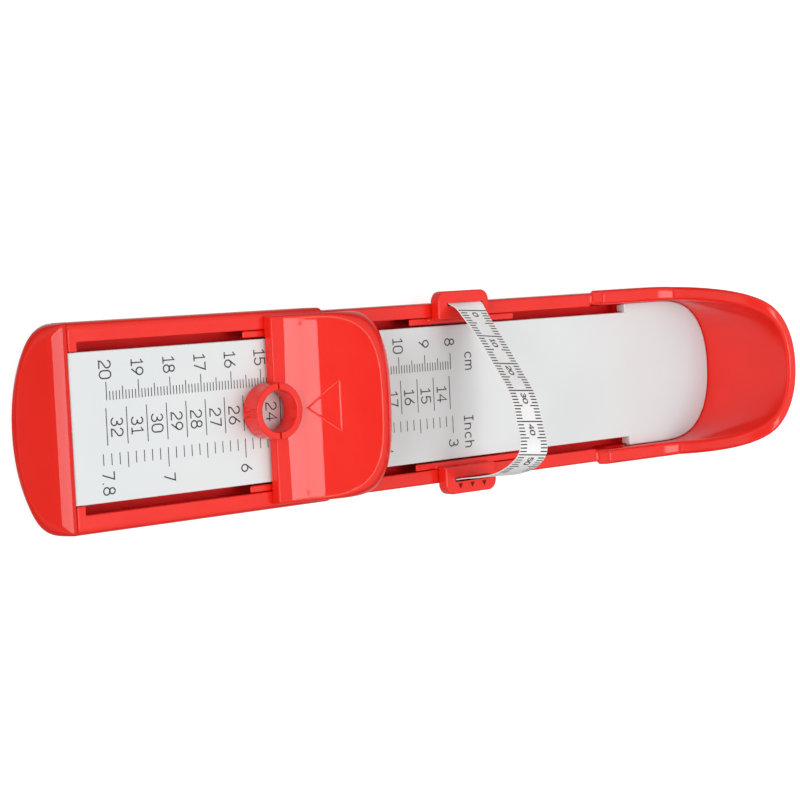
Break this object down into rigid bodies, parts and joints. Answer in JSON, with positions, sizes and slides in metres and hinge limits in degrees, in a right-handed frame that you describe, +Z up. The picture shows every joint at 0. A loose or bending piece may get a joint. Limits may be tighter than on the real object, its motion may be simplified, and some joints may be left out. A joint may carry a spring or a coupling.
{
  "type": "foot measuring device",
  "caption": "Foot measuring device: a flat scale plate between rails with a heel cup at one end, a sliding toe stop with a reading ring, and a sliding carrier with a girth tape loop.",
  "frame": {"origin": "centre of the overall box in plan, at the level of the surface that the feet stand on", "axes": "+X along the device from the toe end cap to the heel cup, +Y to the left side seen from the toe end looking to the heel, +Z up from the scale plate"},
  "size_m": [0.2662, 0.0604, 0.0416],
  "materials": {
    "red_frame": "moulded red plastic, satin gloss",
    "red_cap": "moulded red plastic, satin gloss",
    "red_slider": "moulded red plastic, satin gloss",
    "red_runner": "moulded red plastic, satin gloss",
    "white_plate": "printed white plastic, smooth",
    "tape_film": "printed white film",
    "grey_plastic": "moulded grey plastic",
    "screw_steel": "zinc plated",
    "foot_rubber": "black rubber, matt"
  },
  "bodies": {
    "base": {"base_frame": "red_frame", "toe_end_cap": "red_cap", "scale_plate": "white_plate", "plate_screws": "screw_steel", "cap_screws": "screw_steel", "foot_toe_left": "foot_rubber", "foot_toe_right": "foot_rubber", "foot_heel_left": "foot_rubber", "foot_heel_right": "foot_rubber"},
    "toe_slider": {"slider_shell": "red_slider", "slider_runner_left": "red_runner", "slider_runner_right": "red_runner", "slider_bridge": "grey_plastic", "slider_screws": "screw_steel"},
    "tape_carrier": {"carrier_lug_left": "red_slider", "carrier_lug_right": "red_slider", "carrier_bridge": "grey_plastic", "carrier_screws": "screw_steel", "tape_anchor": "grey_plastic", "tape_loop": "tape_film", "tape_turn": "tape_film"},
    "tape_tail": {"tape_tail": "tape_film", "tape_end_stop": "grey_plastic"}
  },
  "joints": [
    {"name": "toe_slider_slide", "type": "slide", "parent": "base", "child": "toe_slider", "axis": [1, 0, 0], "range_m": [-0.052, 0.008]},
    {"name": "tape_carrier_slide", "type": "slide", "parent": "base", "child": "tape_carrier", "axis": [1, 0, 0], "range_m": [-0.008, 0.044]},
    {"name": "tape_pull", "type": "slide", "parent": "tape_carrier", "child": "tape_tail", "axis": [0, 1, 0], "range_m": [0, 0.022], "deforming": ["tape_loop"]}
  ]
}
